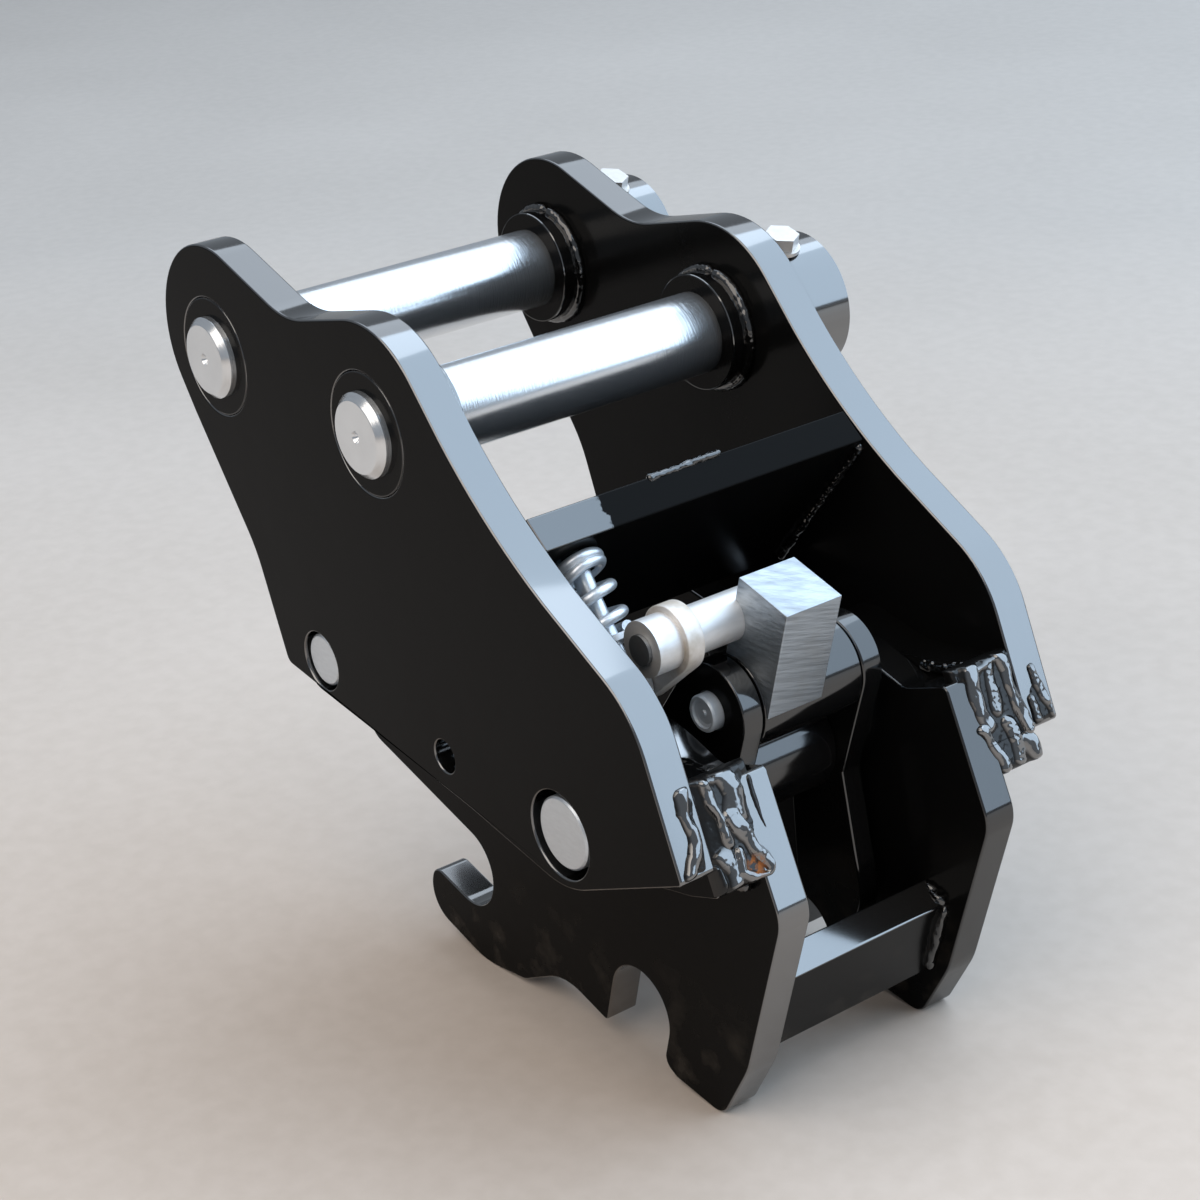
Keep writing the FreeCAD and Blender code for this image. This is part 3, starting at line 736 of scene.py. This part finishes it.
# %% [markdown]
# The rear corners carry the heaviest welds. Side plate, spacer and hook plate end flush there,
# and pass over pass of weld has run down over their edges like black lava. Tubes look like
# worms here, so each corner gets one sheet over the slope. Each pass is a line on it with a
# half-width and a height, and the sheet takes the highest pass at each spot. What no pass
# covers sinks below the edges and stays a dark crevice, and its paint adds painted shade there.
# The noise that roughens the passes would start from the time of day, so it is given a fixed
# seed, and each run is the same.

# %% Rear corner welds
noise.seed_set(11)
SUNK = -1.3
STEP = 79.4


def off_line(spot, path):
    """Distance from a spot to a line of points, and how far along it that is."""
    nearest, reach, passed = 1e9, 0.0, 0.0
    for a, b in zip(path, path[1:]):
        start, way = Vector(a), Vector(b) - Vector(a)
        share = min(max((spot - start).dot(way) / way.length_squared, 0.0), 1.0)
        gap = (spot - start - way * share).length
        if gap < nearest:
            nearest, reach = gap, passed + way.length * share
        passed += way.length
    return nearest, reach


def pass_height(y, v, passes, seed):
    """The highest weld pass at a place on the slope, in millimetres."""
    wide = noise.noise_vector(Vector((y / 6.0, v / 9.0, seed)))
    fine = noise.noise_vector(Vector((y / 1.7, v / 2.2, seed + 9)))
    spot = Vector((y + wide.x * 1.8 + fine.x * 0.15, v + wide.y * 1.8 + fine.y * 0.15))
    best = SUNK + 0.5 * noise.noise(Vector((y / 1.6, v / 3.0, seed)))
    for path, half, tall, ripple in passes:
        gap, reach = off_line(spot, path)
        if gap < half:
            wave = ripple * 0.3 * math.sin(reach * 1.1 + 4.0 * wide.x) * fine.z
            top = tall * (1 + 0.35 * wide.z) + wave
            best = max(best, SUNK + (top - SUNK) * (1 - (gap / half) ** 3) ** 0.5)
    return best


def rim_drop(gap, reach=2.6, depth=4.0):
    """How far a sheet has sunk at this distance from its rim, so that its rim is round."""
    near = 1 - min(max(gap / reach, 0.0), 1.0)
    return depth * (1 - math.sqrt(1 - near * near))


def weld_sheet(name, y_from, y_to, v_from, v_to, passes, seed, joins=(), cell=0.4, back=6.0):
    """A closed slab over the slope whose outer face is shaped by its passes."""
    columns = int((y_to - y_from) / cell)
    rows = int((v_to - v_from) / cell)
    shell = bmesh.new()
    outer, inner = [], []
    for i in range(rows + 1):
        v = v_from + cell * i
        outer.append([])
        inner.append([])
        for j in range(columns + 1):
            y = y_from + cell * j
            foot = SLOPE_TOP + SLOPE_DOWN * v
            gaps = [y - y_from, y_to - y]
            if "top" not in joins:
                gaps.append(v - v_from)
            if "foot" not in joins or abs(y) > STEP:
                gaps.append(v_to - v)
            raised = foot + SLOPE_OUT * (pass_height(y, v, passes, seed) - rim_drop(min(gaps)))
            sunk = foot - SLOPE_OUT * back
            outer[i].append(shell.verts.new(at(raised.x, y, raised.z)))
            inner[i].append(shell.verts.new(at(sunk.x, y, sunk.z)))
    for i in range(rows):
        for j in range(columns):
            shell.faces.new((outer[i][j], outer[i][j + 1], outer[i + 1][j + 1], outer[i + 1][j]))
            shell.faces.new((inner[i][j], inner[i + 1][j], inner[i + 1][j + 1], inner[i][j + 1]))
    rims = [(outer[0], inner[0]), (outer[-1], inner[-1])]
    rims.append(([row[0] for row in outer], [row[0] for row in inner]))
    rims.append(([row[-1] for row in outer], [row[-1] for row in inner]))
    for over, under in rims:
        for k in range(len(over) - 1):
            shell.faces.new((over[k], over[k + 1], under[k + 1], under[k]))
    smoothed(shell, [vert for row in outer[1:-1] for vert in row[1:-1]])
    return finished(name, shell, "frame", slope_paint, crease=80.0)


near_passes = [
    ([(-68, -3), (-66, 10), (-67, 20), (-65, 36)], 12.5, 0.45, 0.5),
    ([(-83, 2), (-85, 24)], 4.4, 0.3, 0.5),
    ([(-83, -7), (-86, 4), (-84.2, 12.5), (-86, 21.5), (-90.5, 26.5)], 3.4, 1.8, 0.3),
    ([(-74, -2), (-72, 11), (-70.9, 20)], 2.7, 2.3, 0.9),
    ([(-66, -6), (-62, 4), (-64.5, 12)], 5.2, 1.7, 0.2),
    ([(-66.5, 13), (-61, 24.8), (-56.2, 34.3)], 3.2, 2.3, 0.4),
    ([(-67.8, 25.2), (-68.5, 32), (-64, 37.5), (-58, 38), (-55.5, 34)], 2.2, 2.4, 0.5),
    ([(-74, 24), (-72, 31), (-72.5, 36)], 4.2, 1.4, 0.3),
    ([(-79, 30), (-79, 34)], 3.0, 0.8, 0.5),
    ([(-53.5, 2), (-53.2, 18), (-52, 34)], 1.3, 0.5, 0.4),
    ([(-82, -5), (-72, -3), (-60, -1)], 1.6, 1.2, 0.9),
]
far_passes = [
    ([(68, -3), (67, 10), (68, 20), (67, 37)], 13.5, 0.45, 0.5),
    ([(88, 16), (90, 28)], 4.4, 0.3, 0.5),
    ([(59, -3), (57.5, 5), (57.8, 15), (60, 20)], 3.8, 1.8, 0.2),
    ([(72, -9), (75, 2), (75.7, 14.5), (79, 28)], 2.6, 2.4, 0.3),
    ([(67, -5), (67, 8), (66, 16)], 3.0, 1.2, 0.8),
    ([(56, 21), (60.5, 32), (62.5, 39)], 2.8, 2.0, 0.3),
    ([(69, 22), (71, 30), (70, 37)], 3.6, 1.9, 1.0),
    ([(88, 6), (89, 13), (92, 22), (93, 31)], 2.4, 1.4, 1.2),
    ([(84, 18), (85, 26), (86, 31)], 2.6, 1.1, 1.0),
    ([(76, 33), (79, 36)], 5.0, 2.2, 0.2),
    ([(81, -5), (72, -3), (60, -1)], 1.6, 1.2, 0.9),
]
weld_sheet("rear_weld_near", -93.6, -51.4, -5.0, 28.4, near_passes, 3.0, ["foot"])
weld_sheet("rear_weld_near_foot", -STEP, -51.4, 27.2, 38.6, near_passes, 3.0, ["top"])
weld_sheet("rear_weld_far", 50.4, 94.0, -5.0, 28.6, far_passes, 17.0, ["foot"])
weld_sheet("rear_weld_far_foot", 50.4, STEP + 3.0, 27.4, 41.0, far_passes, 17.0, ["top"])
for tag, sign in (("near", -1), ("far", 1)):
    seed = 5.0 + 9 * sign
    top = [(22.0, sign * 61.5, 37.5), (34.0, sign * 62.0, 42.5), (45.0, sign * 64.0, 50.0)]
    weld("rear_top_" + tag, top, 3.0, 2.8, lumps=0.3, seed=seed + 4)
    foot = [(70.0, sign * 62.0, 15.0), (55.0, sign * 61.5, 6.0), (20.0, sign * 61.0, -14.0)]
    weld("rear_foot_" + tag, foot, 2.6, 2.6, lumps=0.25, seed=seed + 5)
print("welded the rear corners")

# %% Cross plate welds
for tag, sign in (("near", -1), ("far", 1)):
    y = sign * (HOOK_INNER - 0.4)
    seed = 40.0 + 7 * sign
    upright = [(76.2, y, -41.0), (76.4, y, -59.0), (76.0, y, -76.5)]
    weld("rear_cross_weld_" + tag, upright, 3.2, 2.6, lumps=0.25, seed=seed)
    top = [(62.5, y, -40.8), (76.5, y, -40.8)]
    weld("rear_cross_top_weld_" + tag, top, 3.4, 3.0, lumps=0.35, seed=seed + 1)
    y = sign * (SIDE_INNER - 0.6)
    back = [(-46.5, y, 95.0), (-60.0, y, 63.0), (-79.5, y, 17.0)]
    weld(
        "front_cross_weld_" + tag,
        back,
        2.6,
        2.4,
        lumps=0.18,
        grain=3.0,
        stretch=1.2,
        flat=1.0,
        seed=seed + 2,
    )
edge_run = [(-59.5, -22.0, 102.4), (-60.0, -4.0, 102.6), (-60.2, 15.0, 102.6)]
weld("cross_edge_weld", edge_run, 1.5, 1.4, lumps=0.35, grain=3.0, seed=61.0, side=Vector((1, 0, 0)))
print("welded the cross plates")

# %% [markdown]
# What is left of the solids keeps its own mesh and only takes a finish.

# %% Plain pieces
plain = {
    "arm_boss_outer": enamel,
    "link_boss_outer": enamel,
    "arm_pin_keeper": plated_steel,
    "link_pin_keeper": plated_steel,
    "cross_shaft": shaft_steel,
    "shaft_end_screw": dark_steel,
    "crank_rod_pin": dark_steel,
    "spring_rod": wire_steel,
    "spring_cup": wire_steel,
}
for node, recipe in plain.items():
    solid = frame["nodes"][node]
    solid.data.materials.clear()
    solid.data.materials.append(recipe.material)
print("painted", len(plain), "plain pieces")

# %% [markdown]
# The hitch stands on one flat, pale floor with a faint cloud in its tone and painted light in
# it: lighter and warmer in front than behind, to even out the lamps. The world is a dim, even sky.


# %% Floor and sky
def pale_floor():
    """Pale, slightly cloudy floor, with painted light: lighter and warmer in front than behind."""
    mix = Recipe("pale_floor")
    cloud = mix.noise(3.0, 6.0).ramp(0.3, 0.7)
    grain = mix.noise(90.0, 6.0).ramp(0.35, 0.65)
    # Painted light: the tone goes from lighter and warmer in front to darker behind. This evens out
    # lamps that light the floor behind more than in front.
    far = (mix.axis("Y") - mix.axis("X")).ramp(-0.3, 1.6)
    mottle = cloud * 0.6 + grain * 0.4
    near_brightened_tone = mix.blend(mottle, (0.590, 0.500, 0.425, 1), (0.670, 0.575, 0.500, 1))
    far_darkened_tone = mix.blend(mottle, (0.468, 0.430, 0.395, 1), (0.526, 0.484, 0.446, 1))
    return mix.finish(
        Base_Color=mix.blend(far, near_brightened_tone, far_darkened_tone),
        Roughness=0.8,
        Specular_IOR_Level=0.2,
    )


ground = bmesh.new()
bmesh.ops.create_grid(ground, x_segments=1, y_segments=1, size=9.0)
floor_mesh = bpy.data.meshes.new("floor")
ground.to_mesh(floor_mesh)
ground.free()
floor_mesh.materials.append(pale_floor().material)
floor = bpy.data.objects.new("floor", floor_mesh)
bpy.context.collection.objects.link(floor)

sky = bpy.data.worlds.new("sky")
bpy.context.scene.world = sky
sky.use_nodes = True
background = sky.node_tree.nodes["Background"]
background.inputs["Color"].default_value = (0.80, 0.89, 1.0, 1)
background.inputs["Strength"].default_value = 0.34
bpy.context.scene.view_settings.view_transform = "Standard"
print("floor and sky set")

# %% [markdown]
# Black gloss shows its lamps, not its own colour. A wide panel high on the far side draws the
# bright line along every upper edge. A smaller one overhead gives the soft shadow, and a weak
# warm one fills the near faces.


# %% Lamps
HITCH_MIDDLE = Vector((0, 0, 0.15))
SKY_WAY = Vector((0.36, 0.676, 0.643)).normalized()


def panel(name, place, size, power, tint):
    """An area lamp that faces the hitch, its size given as width and height."""
    lamp = bpy.data.lights.new(name, "AREA")
    lamp.shape = "RECTANGLE"
    lamp.size, lamp.size_y = size
    lamp.energy = power
    lamp.color = tint
    stand = bpy.data.objects.new(name, lamp)
    turn = (HITCH_MIDDLE - Vector(place)).to_track_quat("-Z", "Y").to_matrix().to_4x4()
    stand.matrix_world = Matrix.Translation(place) @ turn
    bpy.context.collection.objects.link(stand)


panel("bright_sky", HITCH_MIDDLE + SKY_WAY * 3.8, (6.1, 5.5), 250.0, (0.62, 0.80, 1.0))
panel("overhead", (-1.3, 1.0, 2.9), (3.0, 2.6), 36.0, (0.78, 0.88, 1.0))
panel("fill", (0.4, -1.7, 2.5), (3.0, 3.0), 50.0, (1.0, 0.90, 0.80))
print("three lamps")

# %% [markdown]
# The camera looks down on the near rear corner with a long lens. Its place and axes were
# worked out from the ellipses of the pin ends and the parallel edges of the plates.

# %% Camera
camera_data = bpy.data.cameras.new("camera")
camera_data.sensor_width = 36.0
camera_data.lens = 79.63
camera_data.clip_end = 50.0
camera_place = Vector((822.38, -603.0, 592.63)) / 1000
camera = bpy.data.objects.new("camera", camera_data)
right = Vector((0.60376, 0.7937, -0.07457)).normalized()
ahead = Vector((-0.74906, 0.5328, -0.39381)).normalized()
up = right.cross(ahead)
turn = Matrix((right, up, -ahead)).transposed().to_4x4()
camera.matrix_world = Matrix.Translation(camera_place) @ turn
bpy.context.collection.objects.link(camera)
bpy.context.scene.camera = camera
print("camera at", [round(v, 3) for v in camera.location])
